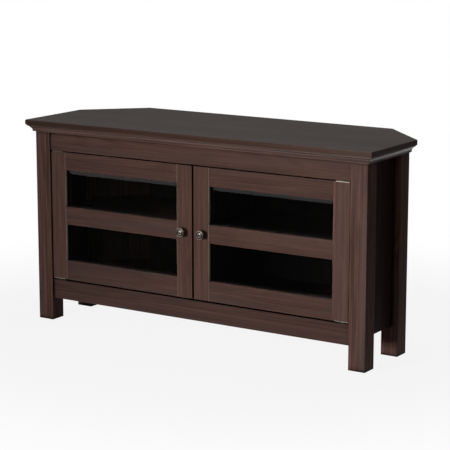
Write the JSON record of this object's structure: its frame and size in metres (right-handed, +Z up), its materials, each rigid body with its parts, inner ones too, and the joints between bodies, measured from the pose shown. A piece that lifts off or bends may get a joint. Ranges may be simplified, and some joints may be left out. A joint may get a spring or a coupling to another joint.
{
  "type": "corner tv cabinet",
  "caption": "low corner television cabinet in dark espresso wood finish, six-sided top, square posts, hinged doors with bevelled glass panes and round bronze knobs",
  "frame": {"origin": "centre of the outline in plan, on the floor under the posts", "axes": "front faces -Y, +X runs along the front to the viewer's right, +Z up"},
  "size_m": [1.118, 0.406, 0.584],
  "materials": {
    "espresso_laminate": "satin dark brown wood-grain laminate",
    "top_laminate": "satin dark brown wood-grain laminate, greyer on the flat top",
    "inside_laminate": "matt dark brown laminate inside the cabinet",
    "back_board": "matt dark thin hardboard",
    "clear_glass": "clear, with a wide ground and polished bevel",
    "aged_bronze": "polished aged bronze",
    "plate_steel": "satin plated steel",
    "dark_nylon": "matt black nylon"
  },
  "bodies": {
    "cabinet": {"apron": "espresso_laminate", "back_panel": "back_board", "back_rail": "inside_laminate", "bottom_rail": "espresso_laminate", "catch_left": "dark_nylon", "catch_right": "dark_nylon", "divider": "inside_laminate", "floor_board": "inside_laminate", "front_post_left": "espresso_laminate", "front_post_right": "espresso_laminate", "hinge_bush_left_bottom": "dark_nylon", "hinge_bush_left_top": "dark_nylon", "hinge_bush_right_bottom": "dark_nylon", "hinge_bush_right_top": "dark_nylon", "moulding_front": "espresso_laminate", "moulding_left": "espresso_laminate", "moulding_right": "espresso_laminate", "rear_post_left": "espresso_laminate", "rear_post_right": "espresso_laminate", "shelf_left": "inside_laminate", "shelf_pin_left_front_inner": "plate_steel", "shelf_pin_left_front_outer": "plate_steel", "shelf_pin_left_rear_inner": "plate_steel", "shelf_pin_left_rear_outer": "plate_steel", "shelf_pin_right_front_inner": "plate_steel", "shelf_pin_right_front_outer": "plate_steel", "shelf_pin_right_rear_inner": "plate_steel", "shelf_pin_right_rear_outer": "plate_steel", "shelf_right": "inside_laminate", "side_panel_left": "espresso_laminate", "side_panel_right": "espresso_laminate", "slant_panel_left": "espresso_laminate", "slant_panel_right": "espresso_laminate", "top_board": "top_laminate"},
    "left_door": {"left_door_bottom_rail": "espresso_laminate", "left_door_hinge_leaf_bottom": "plate_steel", "left_door_hinge_leaf_top": "plate_steel", "left_door_inner_stile": "espresso_laminate", "left_door_knob": "aged_bronze", "left_door_knob_screw": "plate_steel", "left_door_lower_glass": "clear_glass", "left_door_middle_rail": "espresso_laminate", "left_door_outer_stile": "espresso_laminate", "left_door_strike": "plate_steel", "left_door_top_rail": "espresso_laminate", "left_door_upper_glass": "clear_glass"},
    "right_door": {"right_door_bottom_rail": "espresso_laminate", "right_door_hinge_leaf_bottom": "plate_steel", "right_door_hinge_leaf_top": "plate_steel", "right_door_inner_stile": "espresso_laminate", "right_door_knob": "aged_bronze", "right_door_knob_screw": "plate_steel", "right_door_lower_glass": "clear_glass", "right_door_middle_rail": "espresso_laminate", "right_door_outer_stile": "espresso_laminate", "right_door_strike": "plate_steel", "right_door_top_rail": "espresso_laminate", "right_door_upper_glass": "clear_glass"}
  },
  "joints": [
    {"name": "left_door_hinge", "type": "hinge", "parent": "cabinet", "child": "left_door", "pos_m": [-0.4655, -0.169, 0.31], "axis": [0, 0, -1], "range_deg": [0, 110]},
    {"name": "right_door_hinge", "type": "hinge", "parent": "cabinet", "child": "right_door", "pos_m": [0.4655, -0.169, 0.31], "axis": [0, 0, 1], "range_deg": [0, 110]}
  ]
}
